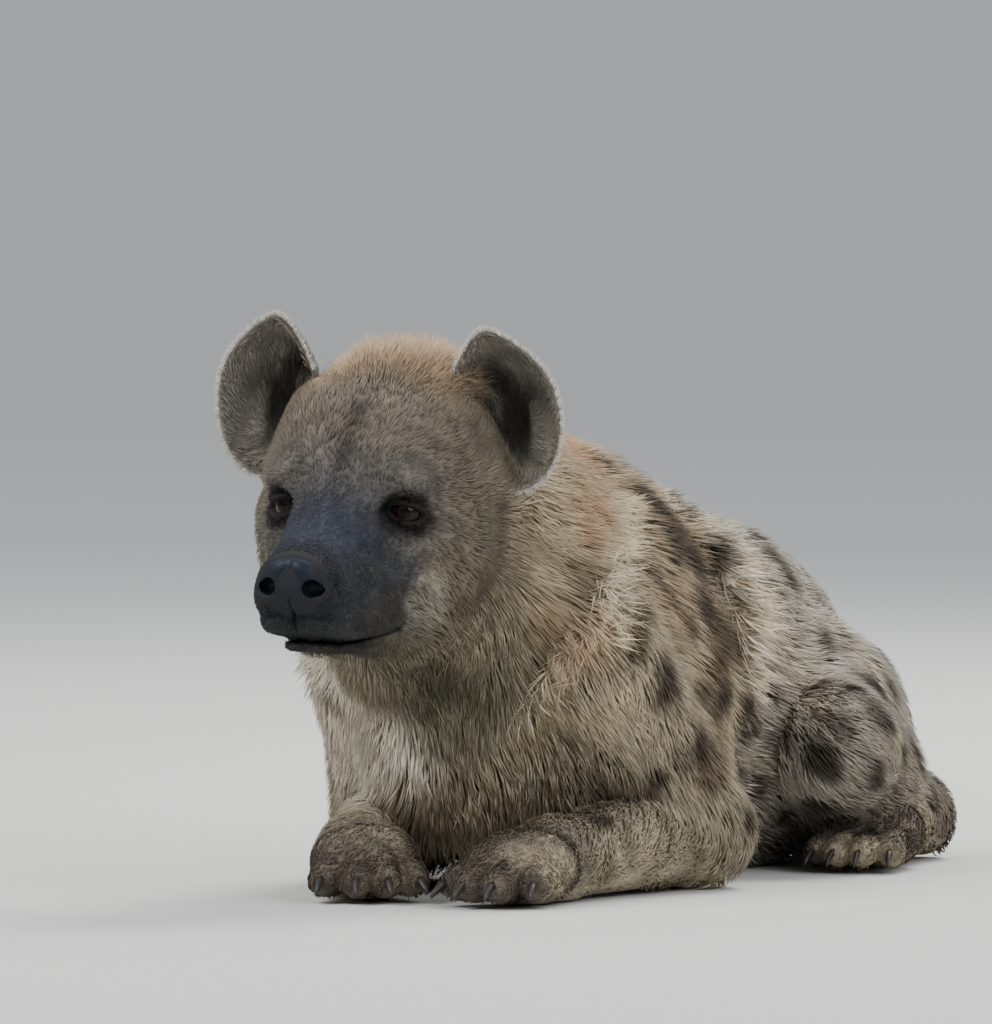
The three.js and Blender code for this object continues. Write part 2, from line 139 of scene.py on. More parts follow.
flesh = {
    "ribs": ball((0, 0.27 * trunk_length, rib_height - 10), (0.49 * chest_width, 218, rib_height)),
    "loin": ball((0, 0.55 * trunk_length, 128), (112, 180, 146)),
    "croup": ball((0, 0.69 * trunk_length, 100), (106, 126, 106), -0.5),
    "breast": ball((0, 28, 114), (92, 98, 100)),
    "neck_base": limb((0, 110, 212), 108, (-6, 0, 246), 99),
    "neck_top": limb((-6, 0, 246), 99, (-18, -95, 290), 82),
    "nape": limb((0, 160, 280), 40, (-14, -66, 340), 36),
    "throat": limb((-2, 0, 184), 90, (-14, -98, 236), 72),
    "scapula": both_sides(limb((56, 150, 248), 42, (86, 8, 184), 46)),
    "triceps": both_sides(ball((98, 130, 142), (46, 90, 90))),
    "thigh": both_sides(ball((92, 468, 96), (50, 98, 80), -0.12)),
    "ruff": rope(12, (84, 84, 280), (100, 30, 250), (124, -20, 218), (124, -37, 192), (110, -46, 176),
                 (79, -48, 153), (54, -54, 122), (32, -58, 100), (12, -62, 95), (2, -70, 112),
                 (-14, -84, 140), (-50, -84, 160), (-96, -48, 182), (-112, -14, 216), (-100, 30, 250),
                 (-84, 84, 280)),
    "mane": both_sides(rope(17, (54, 176, 284), (88, 204, 260), (112, 214, 235), (126, 206, 205),
                            (131, 196, 172), (126, 190, 138))),
}
toes_of = {}
for side, leg in legs.items():
    leg["knuckles"] = tuple(w + (t - w) * 0.4 for w, t in zip(leg["wrist"], leg["toes"]))
    toes_of["fore_" + side], flesh["forefoot_" + side] = foot(leg["knuckles"], leg["toes"], 1)
    toes_of["hind_" + side], flesh["hindfoot_" + side] = foot(leg["joint"], leg["hind_toes"], 0.88)
    for name, (a, ra, b, rb) in leg_limbs.items():
        flesh[name + "_" + side] = limb(leg[a], ra, leg[b], rb)
tail_path = [(0, 590, 92), (-24, 650, 52), (-66, 684, 26), (-124, 684, 20), (-172, 652, 18)]
tail_radii = [34, 25, 20, 18, 18]
flesh["tail"] = lambda x, y, z: melt(10, *[
    limb(tail_path[i], tail_radii[i], tail_path[i + 1], tail_radii[i + 1])(x, y, z) for i in range(4)])
brush_path = [tail_path[-1], (-204, 604, 16), (-222, 536, 10)]
brush_halves = limb(brush_path[0], 16, brush_path[1], 15), limb(brush_path[1], 15, brush_path[2], 5)
flesh["brush"] = lambda x, y, z: melt(8, *[half(x, y, z) for half in brush_halves])

# The head has its own frame, with its origin midway between the eyes
head_place = (Matrix.Translation((-9.5, -193.5, 291)) @ Matrix.Rotation(0.105, 4, "Z")
              @ Matrix.Rotation(0.047, 4, "Y"))
head_axes, head_origin = np.array(head_place.to_3x3()), np.array(head_place.translation)
eye_middle, eye_radius = (43, 9, -2), 13.5
head_flesh = {
    "braincase": ball((0, 80, 26), (79, 94, 70)),
    "forehead": ball((0, 26, 8), (60, 58, 40)),
    "cheek": both_sides(ball((50, 70, -32), (38, 56, 52))),
    "ear_root": both_sides(limb((50, 84, 62), 24, (82, 100, 16), 15)),
    "cheekbone": both_sides(limb((48, 12, -22), 18, (68, 62, -12), 20)),
    "brow": both_sides(ball((37, 6, 18), (25, 22, 13))),
    "bridge": limb((0, 6, -12), 41, (0, -84, -53), 27),
    "lips": both_sides(ball((17, -64, -64), (21, 46, 26))),
    "lip_corner": both_sides(limb((24, -40, -70), 20, (33, 4, -76), 16)),
    "jaw_rear": both_sides(limb((28, 52, -78), 32, (22, 10, -86), 24)),
    "chin": both_sides(limb((18, 14, -88), 20, (8, -76, -89), 15)),
    "nose_pad": ball((0, -99, -52), (28, 17, 22)),
    "muzzle_side": both_sides(limb((25, -40, -50), 14, (42, 0, -46), 15)),
}
eye_socket = both_sides(ball((eye_middle[0] + 6, -12, -3), (18, 17, 12)))
chest_hollow = ball((24, -98, 122), (40, 42, 50))


def to_head(points):
    return (points - head_origin) @ head_axes


def from_head(seen):
    return seen @ head_axes.T + head_origin


def survey(points):
    """Distances of points to every shape of the body and the head."""
    found = {name: shape(*points.T) for name, shape in flesh.items()}
    seen = to_head(points).T
    found.update({name: shape(*seen) for name, shape in head_flesh.items()})
    found["socket"], found["chest_hollow"] = eye_socket(*seen), chest_hollow(*points.T)
    found["outward"] = np.tanh(np.where(points[:, 1] < -120, seen[0], points[:, 0]) / 25)
    return found


def whole(d):
    """The outline over the coat, melted together as in the solids."""
    trunk = melt(36, d["ribs"], d["loin"], d["croup"], d["breast"])
    neck = melt(30, d["neck_base"], d["neck_top"], d["nape"], d["throat"])
    fore, hind = ("upper_arm", "forearm", "wrist", "forefoot"), ("femur", "shank", "heel", "sole", "hindfoot")
    limbs = [melt(k, *[d[name + "_" + side] for name in shapes])
             for side in legs for k, shapes in ((22, fore), (20, hind))]
    body = melt(24, soften(trunk, neck, 40), d["scapula"], d["triceps"], d["thigh"], *limbs)
    body = melt(14, body, d["ruff"], d["mane"])
    body = hollow(24, body, d["chest_hollow"])
    skull = melt(26, d["braincase"], d["forehead"], d["cheek"], d["ear_root"])
    face = melt(15, skull, d["cheekbone"], d["brow"], d["bridge"], d["lips"], d["lip_corner"])
    face = soften(face, d["muzzle_side"], 18)
    jaw = soften(d["jaw_rear"], d["chin"], 14)
    head = soften(soften(hollow(9, face, d["socket"]), jaw, 10), d["nose_pad"], 5)
    return soften(melt(14, body, d["tail"], d["brush"]), head, 24)


# The coat of each shape: how deep the hair lies over the hide, how long and wide its tufts are, how
# far their tips rise, which way they lie (outward from the midline, back, up), and the colour on
# screen. Between shapes all this is mixed.
coats = {
    "ribs": (10, 34, 2.0, 12, (0.2, 1, -0.5), (182, 172, 156)),
    "loin": (9, 32, 2.0, 11, (0.2, 1, -0.5), (180, 172, 158)),
    "croup": (8, 28, 1.9, 10, (0.2, 1, -0.55), (182, 178, 172)),
    "breast": (9, 36, 1.9, 13, (0.3, 0.2, -1), (172, 158, 134)),
    "neck_base": (10, 42, 1.9, 14, (0.3, 0.8, -0.6), (184, 162, 132)),
    # neck_top's sandy colour is darkened a little as painted shade behind the ear
    "neck_top": (8, 34, 1.8, 12, (0.3, 0.8, -0.65), (170, 154, 128)),
    "nape": (12, 46, 1.9, 19, (0.1, 1, 0.05), (166, 134, 100)),
    "throat": (9, 36, 1.8, 12, (0.2, 0.5, -1), (150, 142, 120)),
    "scapula": (11, 40, 2.0, 15, (0.3, 0.8, -0.65), (188, 164, 134)),
    "ruff": (9, 34, 1.7, 8, (0.3, 0.9, -0.75), (196, 174, 144)),
    "mane": (10, 42, 1.8, 16, (0.4, 1, -0.3), (204, 188, 162)),
    "triceps": (10, 36, 2.0, 13, (0.3, 0.7, -0.8), (186, 166, 140)),
    "upper_arm": (8, 30, 1.9, 11, (0.3, 0.35, -1), (198, 183, 158)),
    "forearm": (4, 15, 1.2, 3.8, (0.4, -1, -0.3), (180, 167, 143)),
    "wrist": (3.5, 11, 1.1, 3.0, (0.3, -1, -0.2), (150, 140, 122)),
    "forefoot": (1.8, 6, 1.0, 1.8, (0.1, -1, -0.25), (112, 102, 90)),
    "thigh": (8, 28, 1.9, 10, (0.6, 0.5, -0.8), (180, 174, 164)),
    "femur": (8, 27, 1.9, 10, (0.7, 0.3, -0.8), (168, 160, 147)),
    "shank": (6, 20, 1.6, 7, (0.6, 0.8, -0.5), (156, 146, 130)),
    "heel": (4, 13, 1.4, 4, (0.5, -0.4, -1), (116, 104, 90)),
    "sole": (3.5, 11, 1.3, 3.4, (0.4, -1, -0.2), (116, 104, 90)),
    "hindfoot": (1.8, 6, 1.0, 1.8, (0.1, -1, -0.25), (104, 94, 82)),
    "tail": (6, 26, 1.7, 8, (0, 1, -0.3), (120, 104, 86)),
    "brush": (0, 46, 1.6, 12, (0, -1, 0.0), (34, 30, 28)),
}
head_coats = {  # the lie here is in the head's own frame
    "braincase": (4.5, 13, 0.85, 4.0, (0.2, 0.9, 0.35), (119, 110, 98)),
    "forehead": (2.6, 8, 0.85, 2.2, (0.2, 0.8, 0.6), (98, 94, 90)),
    "cheek": (5, 15, 0.95, 4.6, (0.3, 0.85, -0.5), (130, 120, 102)),
    "ear_root": (4, 12, 1.0, 4, (0.4, 0.3, 0.9), (116, 106, 92)),
    "cheekbone": (2.6, 8, 0.85, 2.2, (0.3, 1, -0.3), (108, 102, 92)),
    "brow": (1.8, 6, 0.8, 1.8, (0.5, 0.7, 0.5), (88, 84, 78)),
    "bridge": (1.0, 4.2, 0.7, 1.0, (0.1, 1, 0.15), (56, 59, 69)),
    "lips": (1.0, 4.2, 0.7, 1.0, (0.3, 1, -0.2), (54, 54, 56)),
    "lip_corner": (1.4, 5.5, 0.75, 1.4, (0.3, 1, -0.3), (60, 58, 54)),
    "jaw_rear": (4.5, 16, 1.1, 5.5, (0.2, 1, -0.6), (112, 104, 88)),
    "chin": (1.2, 5.5, 0.75, 1.4, (0.2, 1, -0.4), (48, 48, 44)),
    "nose_pad": (0, 3, 0.6, 0.8, (0, 1, 0), (24, 24, 28)),
    "muzzle_side": (1.4, 5.5, 0.75, 1.4, (0.3, 1, -0.2), (66, 66, 68)),
}


def light_of(colour):
    """Linear light of a colour as seen on screen, 0 to 255."""
    c = np.asarray(colour, float) / 255
    return np.where(c > 0.04045, ((c + 0.055) / 1.055) ** 2.4, c / 12.92)


def shares(d, softness=6.0):
    """How much each shape counts at the points, and the shapes' names."""
    names = [name for name in d if name not in ("socket", "chest_hollow", "outward")]
    weights = np.exp(-np.clip(np.array([d[name] for name in names]), -6, 90) / softness)
    return weights.T / weights.sum(0)[:, None], names


coat_columns = {}
for table, turned in ((coats, False), (head_coats, True)):
    for name, (depth, length, width, rise, lie, colour) in table.items():
        axes = head_axes if turned else np.eye(3)
        onward, aside = axes @ np.array([0, *lie[1:]]), axes @ np.array([lie[0], 0, 0])
        coat_columns[name] = np.array([depth, length, width, rise, *onward, *light_of(colour), *aside])


def kind_of(name):
    return name.removesuffix("_left").removesuffix("_right")


def coat_at(d):
    """Columns: depth, length, width, rise, lie x y z, light r g b."""
    weights, names = shares(d)
    mixed = weights @ np.array([coat_columns[kind_of(name)] for name in names])
    mixed[:, 4:7] += mixed[:, 10:] * d["outward"][:, None]
    return mixed[:, :10]


# Fold: the crease in the hide behind the neck's thick ruff, where the neck turns on the trunk. It runs
# from behind each ear over the shoulder and meets below the throat, and is hollowed out of the hide.
neck_fold = rope(6, (94, 105, 275), (107, 55, 246), (135, -7, 212), (138, -26, 183), (123, -38, 167),
                 (90, -36, 140), (62, -47, 103), (32, -56, 78), (8, -62, 80), (-6, -66, 105), (-26, -84, 134),
                 (-56, -78, 138), (-104, -40, 166), (-124, -4, 206), (-107, 55, 246), (-94, 105, 275))
fold_depth = 16


def folded(points, outline, depth):
    """The hide under a coat of such depth, creased along the neck's fold."""
    crease = np.maximum(neck_fold(*points.T), -outline - depth - fold_depth)
    return hollow(18, outline + depth, crease)


# Face: the thin dark hide of the face, carved in the head's frame. It has almond lids over each
# eyeball with a fold above and a pouch below, the line of the mouth with its lips, the groove under
# the nose and the nostrils' mouths. Angles are in radians, seen from the eyeball's middle.
lid_look, lid_slant, lid_half = 0.42, 0.16, 0.98
mouth_y = (-104, -80, -50, -20, 0, 14)
mouth_z = (-91, -95, -97.5, -94, -87, -78)


def eye_angles(x, y, z):
    ex, ey, ez = abs(x) - eye_middle[0], y - eye_middle[1], z - eye_middle[2]
    r = np.sqrt(ex * ex + ey * ey + ez * ez) + 1e-6
    across = np.arctan2(ex, -ey) - lid_look
    v = np.arcsin(np.clip(ez / r, -1, 1)) + lid_slant * across
    c = across / lid_half
    m = np.sqrt(np.clip(1 - c * c, 0, 1))
    upper, lower = 0.3 * m ** 0.6, -0.46 * m ** 1.0
    apart = np.maximum(v - upper, lower - v) + np.maximum(abs(c) - 1, 0) * lid_half
    return r, c, v - upper, lower - v, apart * eye_radius


def ease(low, high, value):
    """0 up to low, 1 from high on, smooth between. With low above high it falls instead."""
    t = np.clip((value - low) / (high - low), 0, 1)
    return t * t * (3 - 2 * t)


def groove(depth, width, flesh_distance, away):
    """A tool that cuts a line as deep as depth where away, the distance to the line, is small."""
    return np.maximum(abs(away) - width, -flesh_distance - depth)


def sculpt(flesh_distance, x, y, z):
    r, c, above, below, opening = eye_angles(x, y, z)
    face = soften(flesh_distance, r - eye_radius - 2.6, 6)
    lid = np.sqrt((above - 0.06) ** 2 * 200 + (r - eye_radius - 2.2) ** 2)
    face = soften(face, lid - 2.1 + 3 * np.maximum(abs(c) - 0.9, 0), 2.5)
    for fold, place, deep in ((above, 0.36, 1.5), (below, 0.34, 1.0)):
        line = (fold - place) * eye_radius
        ends = np.maximum(abs(c) - 0.95, 0) * 14
        face = hollow(1.6, face, groove(deep, 0.5, face, np.sqrt(line * line + ends * ends)))
    face = hollow(1.3, face, np.maximum(np.maximum(opening, eye_radius - 1.2 - r), r - 25))
    duct = np.sqrt(((c + 1.1) * 13) ** 2 + ((above + 0.12) * 14) ** 2) - 1.3
    face = np.where(r < 19, hollow(1.0, face, np.maximum(duct, eye_radius - 0.5 - r)), face)
    mouth = np.interp(y, mouth_y, mouth_z)
    roll = np.sqrt((z - mouth - 7) ** 2 + (face + 1.2) ** 2) - 4.2 + 5 * ease(-10, 16, y)
    face = np.where(y < 22, soften(face, roll, 5), face)
    wide = 1.6 - 0.5 * ease(-60, 14, y) - 0.9 * ease(-66, -86, y)
    deep = 7 - 4.5 * ease(-70, -98, y)
    line = np.maximum(groove(deep, wide, face, z - mouth - 0.25 * np.maximum(face + 6, 0)), y - 14)
    face = hollow(3.0, face, np.where(y < 22, line, 40))
    jaw_half = 13 + 0.28 * (y + 88) + 30 * ease(-40, 0, y)
    for past_jaw in (ball((0, -124, -106), (70, 47, 28))(x, y, z), jaw_half - abs(x)):
        face = hollow(7, face, np.maximum(past_jaw, z - mouth - 0.5))
    under = np.maximum(groove(2.4, 0.4, face, x), np.maximum(z + 64, -93 - z))
    return hollow(2.0, face, np.where(y < -80, under, 40))


nose_reach = (0, -103, -53), (28, 22, 24)
nostrils = both_sides(lambda x, y, z: soften(
    ball((16, -109, -56), (6.6, 9, 6.4))(x, y, z),
    limb((20, -105, -57), 3.6, (28, -96, -53), 1.6)(x, y, z), 4))


head_cut = math.cos(0.361), math.sin(0.361)


def behind_head(x, y, z):
    """How far points lie outside the head's own part, past its tilted cut to the neck."""
    back, up = y * head_cut[0] - z * head_cut[1], y * head_cut[1] + z * head_cut[0]
    return np.maximum(back - 88, -111 - 0.7 * np.clip(-10 - y, 0, 50) - up)


def head_skin(seen, cut=True):
    """Distance to the face's skin from points in the head's frame."""
    d = survey(from_head(seen))
    x, y, z = seen.T
    skin = sculpt(whole(d) + coat_at(d)[:, 0], x, y, z)
    skin = hollow(1.5, skin, nostrils(x, y, z) - 0.6)
    return np.maximum(skin, behind_head(x, y, z)) if cut else skin


def body_skin(points):
    """Distance to the rest of the skin, which starts just inside the head's cut."""
    d = survey(points)
    skin = np.maximum(folded(points, whole(d), coat_at(d)[:, 0]), 1.2 - points[:, 2])
    return np.maximum(skin, -5 - behind_head(*to_head(points).T))


def surface_of(distance, low, high, step, reach, finer=4):
    """Points and quads where distance is zero, worked out finely only within reach steps of it."""
    coarse = finer * step
    counts = [math.ceil((h - l) / coarse) for l, h in zip(low, high)]
    axes = [l + (np.arange(n) + 0.5) * coarse for l, n in zip(low, counts)]
    middles = np.stack(np.meshgrid(*axes, indexing="ij"), -1).reshape(-1, 3)
    rough = distance(middles)
    dense = rough.reshape(counts).astype(np.float32)
    for axis in range(3):
        dense = np.repeat(dense, finer, axis)
    close = np.nonzero(abs(rough) < reach * step)[0]
    cells = np.stack(np.unravel_index(close, counts), 1) * finer
    steps = (np.arange(finer) + 0.5) * step - coarse / 2
    local = np.stack(np.meshgrid(steps, steps, steps, indexing="ij"), -1).reshape(-1, 3)
    for start in range(0, len(close), 4000):
        values = distance((middles[close[start:start + 4000]][:, None] + local).reshape(-1, 3))
        for (i, j, k), block in zip(cells[start:start + 4000], values.reshape(-1, finer, finer, finer)):
            dense[i:i + finer, j:j + finer, k:k + finer] = block
    grid = openvdb.FloatGrid(float(reach * step))
    grid.copyFromArray(dense)
    points, _, quads = grid.convertToPolygons()
    return points.astype(float) * step + low + step / 2, quads.astype(int)


def crossed(points, quads):
    """Outward normals of quads, twice as long as their area."""
    a, b, c, d = points[quads].transpose(1, 0, 2)
    return np.cross(c - a, d - b)


def unit(vectors):
    return vectors / (np.linalg.norm(vectors, axis=1, keepdims=True) + 1e-12)


def facing(points, quads):
    """Outward normals of a surface's points."""
    face = crossed(points, quads)
    normals = np.zeros_like(points)
    for corner in range(4):
        np.add.at(normals, quads[:, corner], face)
    return unit(normals)


body_step, head_step, nose_step, ear_step = ((3.6, 1.35, 0.75, 1.2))
body_points, body_quads = surface_of(body_skin, (-262, -330, -8), (222, 726, 436), body_step, 4.2)
seen_points, head_quads = surface_of(head_skin, (-134, -128, -134), (134, 150, 128), head_step, 5)
head_points = from_head(seen_points)

# Markings: the pigment of the hide and its hair, with painted shade and highlight. Dark brown blots lie on
# the flanks, shoulders and rump, bands on the legs, a dusky stripe on the forehead, rust on the crown and
# nape, cream on the breast. Painted shade darkens the neck's crease, the valley before the mane, the fold
# behind the cheek, the mouth's line and the throat. Painted highlight lightens the edges of the ruff, the
# mane and the chest's folds and the right side of the breast. They are drawn in three dimensions, so that
# hide and hair carry the same ones.
chance = np.random.default_rng(11)
waves = unit(chance.normal(size=(10, 3)))
phases = chance.uniform(0, 2 * math.pi, 10)


def cloud(points, size, seed=0):
    """Soft noise from -1 to 1, whose blotches are about size across."""
    turned = np.roll(waves, seed, 1) * (1 + 0.13 * ((np.arange(10) + seed) % 5))[:, None]
    return np.sin(points @ turned.T * (2.6 / size) + phases + 1.7 * seed).sum(1) / 3.6


def near(points, middle, radii):
    """1 at a blot's middle, 0 outside its radii."""
    return ease(1.15, 0.45, np.sqrt((((points - middle) / radii) ** 2).sum(1)))


facing_body, facing_head = facing(body_points, body_quads), facing(head_points, head_quads)
blots = [(np.array(place), radius) for *place, radius in (  # the ones that the photo shows
    (114, 70, 235, 13), (124, 89, 217, 14), (134, 99, 192, 14), (144, -13, 181, 11), (149, 20, 159, 18),
    (156, 68, 113, 14), (125, 30, 77, 13), (149, 47, 96, 13), (122, -36, 62, 12), (85, 405, 221, 13),
    (84, 446, 211, 13), (109, 304, 141, 16), (113, 313, 99, 14), (97, 316, 68, 15), (154, 323, 118, 15),
    (146, 317, 84, 16), (181, 357, 116, 13), (112, 450, 174, 15), (164, 388, 55, 12), (137, 479, 135, 13),
    (172, 418, 92, 14), (161, 357, 140, 12), (105, 369, 177, 14), (156, 132, 81, 13), (132, 177, 183, 13),
    (100, 304, 194, 12), (169, 120, 52, 12), (143, 98, 149, 14), (51, 341, 261, 12), (75, 391, 237, 12),
    (164, 369, 33, 11), (162, 461, 51, 13))]
for place in body_points[chance.permutation(len(body_points))]:  # the rest, where it shows nothing
    x, y, z = place
    if y < 110 or z < 50 or (y < 220 and z < 100) or y > 640 or (y < 330 and abs(x) < 40):
        continue
    if all((place - p) @ (place - p) > (26 + radius) ** 2 for p, radius in blots):
        blots.append((place, chance.uniform(11, 18)))
blot_places, blot_radii = np.array([p for p, _ in blots]), np.array([r for _, r in blots])
patches = (  # colour, how strong, how far from its line, whether on both flanks, the line
    ((176, 132, 96), 0.5, 52, False, ((10, 90, 318), (16, 0, 340), (0, -60, 350))),
    # pale cream along the ruff's edge: paler hair and a painted highlight where the edge catches light
    ((226, 212, 184), 0.65, 22, True, ((90, 73, 275), (104, 26, 247), (125, -21, 216), (125, -37, 190))),
    ((214, 196, 164), 0.5, 22, True, ((84, -58, 220), (91, -39, 262))),
    ((176, 132, 100), 0.4, 24, False, ((86, 30, 290), (84, 0, 268))),
    ((178, 134, 102), 0.42, 30, False, ((112, -45, 190), (96, -56, 204))),
    ((146, 132, 112), 0.4, 40, True, ((118, 76, 222), (146, 50, 160), (140, 60, 120))),
    # painted shade: dark brown in the valley in front of the mane's ridge
    ((86, 70, 54), 0.85, 26, True, ((102, 130, 267), (104, 164, 250), (128, 160, 218), (139, 152, 184),
                                    (145, 136, 155), (146, 128, 126), (159, 83, 91))),
    # pale cream along the mane's ridge: paler hair and a painted highlight on its lit crest
    ((228, 214, 190), 0.8, 20, True, ((54, 186, 300), (88, 214, 276), (118, 226, 246), (138, 216, 208),
                                      (144, 206, 172), (138, 200, 136))),
    # cream on the breast's right side only: cream fur and painted light on the side that faces the light
    ((230, 222, 204), 0.9, 50, False, ((-90, -44, 160), (-64, -58, 126), (-34, -72, 112), (-104, 6, 96))),
    # grey-brown on the throat: the throat's own duller fur and painted shade under the head
    ((136, 131, 112), 0.8, 34, False, ((4, -120, 172), (2, -72, 146), (12, -62, 122), (36, -64, 146))),
    # pale cream lines down the chest's folds: paler hair and a painted highlight on the folds' lit edges
    ((230, 220, 196), 0.85, 15, False, ((84, -60, 148), (54, -66, 112), (32, -74, 88), (12, -78, 84),
                                        (-6, -84, 106), (-26, -98, 140))),
    # painted shadow: dark brown along the neck's crease, where the ruff overhangs it
    ((66, 56, 46), 0.75, 15, True, ((96, 112, 268), (109, 62, 240), (138, 0, 204), (140, -22, 176),
                                    (124, -36, 158), (92, -34, 130), (66, -44, 92))),
)


def marked(points, light):
    """The coat's light with its markings and its painted shade and highlight, at points in the animal's
    frame.
    """
    x, y, z = points.T
    hx, hy, hz = to_head(points).T
    half = np.stack([abs(hx), hy, hz], 1)
    r, _, _, _, opening = eye_angles(hx, hy, hz)
    on_head = ease(10, -6, behind_head(hx, hy, hz))
    off_head = 1 - on_head
    warped = points + np.stack([cloud(points, 24, s) for s in (1, 2, 3)], 1) * 6
    spot = np.zeros(len(points))
    for start in range(0, len(points), 50000):
        part = slice(start, start + 50000)
        apart = ((warped[part, None] - blot_places[None]) ** 2).sum(2)
        nearest = apart.argmin(1)
        reach = np.sqrt(apart[np.arange(len(nearest)), nearest]) / blot_radii[nearest] / 1.2
        spot[part] = ease(1.25, 0.5, reach)
    streaks = 1 + 0.35 * cloud(points * (1, 0.4, 1), 26, 9)
    rust = ease(36, 80, hz + 0.35 * (hy - 40)) * ease(40, 90, hy) * ease(78, 40, half[:, 0])
    stripe = np.exp(-((hx - 3) / 8) ** 2) * ease(0, 44, hz) * ease(96, 66, hz)
    at_eye = ease(13, 3.5, opening) * ease(31, 19, r)
    cheek_fold_shade_line = rope(0, (80, 84, -2), (86, 74, -30), (84, 64, -56), (76, 54, -78))(*half.T)
    bands = ease(0.2, 0.9, np.sin(y / 10 + 2.2 * cloud(points, 34, 6))) * ease(80, 50, z)
    at_mouth = ease(5, 1.5, abs(hz - np.interp(hy, mouth_y, mouth_z)))
    layers = [((214, 198, 168), off_head * 0.45 * ease(0.1, 0.9, cloud(points, 46, 4))),
              ((122, 114, 102), off_head * 0.35 * ease(0.1, 1, cloud(points, 70, 5)))]
    for colour, strong, wide, both, path in patches:
        away = rope(0, *path)(abs(x) if both else x, y, z)
        layers.append((colour, off_head * strong * streaks * ease(1.2 * wide, 0.45 * wide, away)))
    layers += [
        ((50, 42, 35), spot * 0.92 * off_head),
        ((66, 58, 52), 0.32 * bands * ease(120, 70, y)),
        ((184, 156, 124), 0.85 * rust * on_head),
        ((56, 50, 48), 0.6 * stripe * on_head),
        ((20, 17, 17), 0.95 * at_eye * on_head),
        ((122, 114, 106), 0.5 * near(half, (46, -2, 21), (20, 20, 10)) * on_head),  # outer brow
        ((30, 31, 34), 0.8 * near(half, (0, -102, -56), (44, 34, 40)) * on_head),  # round the nose
        # painted shade in the fold behind the cheek, where it meets the neck
        ((84, 74, 64), 0.45 * ease(18, 3, cheek_fold_shade_line)),
        # near black along the mouth's line: the dark lip's edge and painted shade in the mouth's crease
        ((12, 11, 11), 0.9 * at_mouth * ease(20, 10, hy) * on_head),
        ((186, 180, 168), 0.45 * near(half, (50, 28, -62), (26, 32, 30)) * on_head),  # pale lower cheek
    ]
    for colour, share in layers:
        light = light + (light_of(colour) - light) * np.clip(share, 0, 1)[:, None]
    return np.clip(light * (1 + 0.1 * cloud(points, 12, 7))[:, None], 0.001, 1)


eye_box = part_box("eye_left")  # shows where the animal's frame lies in the part's
shift = np.array((eye_box[0] + eye_box[1]) / 2) * 1000 - from_head(np.array(eye_middle))


def in_part(points):
    """From the animal's frame in millimetres to the part's in metres."""
    return (np.asarray(points, float) + shift) / 1000


def mesh_of(name, points, faces):
    """A smooth mesh in the part's frame from arrays."""
    mesh = bpy.data.meshes.new(name)
    sizes = np.concatenate([np.full(len(f), f.shape[1]) for f in faces])
    loops = np.concatenate([f.ravel() for f in faces])
    mesh.vertices.add(len(points))
    mesh.vertices.foreach_set("co", in_part(points).astype(np.float32).ravel())
    mesh.loops.add(len(loops))
    mesh.loops.foreach_set("vertex_index", loops.astype(np.int32))
    mesh.polygons.add(len(sizes))
    mesh.polygons.foreach_set("loop_start", (np.cumsum(sizes) - sizes).astype(np.int32))
    mesh.polygons.foreach_set("use_smooth", np.ones(len(sizes), bool))
    mesh.update(calc_edges=True)
    return mesh


def tinted(mesh, light):
    """The mesh, with its points' light as the attribute tint."""
    layer = mesh.attributes.new("tint", "FLOAT_COLOR", "POINT")
    rgba = np.ones((len(light), 4), np.float32)
    rgba[:, :3] = light
    layer.data.foreach_set("color", rgba.ravel())
    return mesh


def linked(name, data):
    thing = bpy.data.objects.new(name, data)
    bpy.context.collection.objects.link(thing)
    return thing


def piece_of(mesh, material, slot, *nodes):
    piece = linked(mesh.name, mesh)
    mesh.materials.append(material)
    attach(piece, "root")
    if nodes:
        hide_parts(*nodes)


class Tap:
    """A shader socket that can be added, multiplied and so on as a number."""

    def __init__(self, tree, socket):
        self.tree, self.socket = tree, socket

    def node(self, kind, settings=None, output=0, **values):
        """Any node: its settings or a ramp's stops, then its sockets by name, or by number as i0."""
        made = self.tree.nodes.new(kind)
        for name, value in (settings or {}).items():
            if name == "stops":
                for stop, (position, colour) in enumerate(value):
                    stops = made.color_ramp.elements
                    element = stops[stop] if stop < 2 else stops.new(position)
                    element.position, element.color = position, (*colour, 1)
            else:
                setattr(made, name, value)
        for name, value in values.items():
            key = int(name[1:]) if name[1:].isdigit() else name.replace("_", " ")
            if isinstance(value, Tap):
                self.tree.links.new(value.socket, made.inputs[key])
            else:
                made.inputs[key].default_value = value
        return Tap(self.tree, made.outputs[output])

    def math(self, operation, a, b):
        return self.node("ShaderNodeMath", {"operation": operation}, i0=a, i1=b)

    def __add__(self, other): return self.math("ADD", self, other)
    def __radd__(self, other): return self.math("ADD", other, self)
    def __sub__(self, other): return self.math("SUBTRACT", self, other)
    def __rsub__(self, other): return self.math("SUBTRACT", other, self)
    def __mul__(self, other): return self.math("MULTIPLY", self, other)
    def __rmul__(self, other): return self.math("MULTIPLY", other, self)

    def vector(self, operation, output=0, **values):
        return self.node("ShaderNodeVectorMath", {"operation": operation}, output, **values)

    def place(self):
        return self.node("ShaderNodeTexCoord", output=3)

    def tint(self, share, dark):
        """The mesh's own light, with a share of a darker one."""
        light = self.node("ShaderNodeAttribute", {"attribute_name": "tint"})
        return self.mixed(share, light, (*dark, 1))

    def mixed(self, share, first, second):
        return self.node("ShaderNodeMix", {"data_type": "RGBA"}, output=2, Factor=share, i6=first, i7=second)


def material_of(name, **constants):
    """A material, its Principled shader, and a tap to start nodes from."""
    material = bpy.data.materials.new(name)
    material.use_nodes = True
    shader = material.node_tree.nodes["Principled BSDF"]
    for socket, value in constants.items():
        shader.inputs[socket.replace("_", " ")].default_value = value
    return material, shader, Tap(material.node_tree, None)


def feed(shader, socket, tap):
    tap.tree.links.new(tap.socket, shader.inputs[socket])


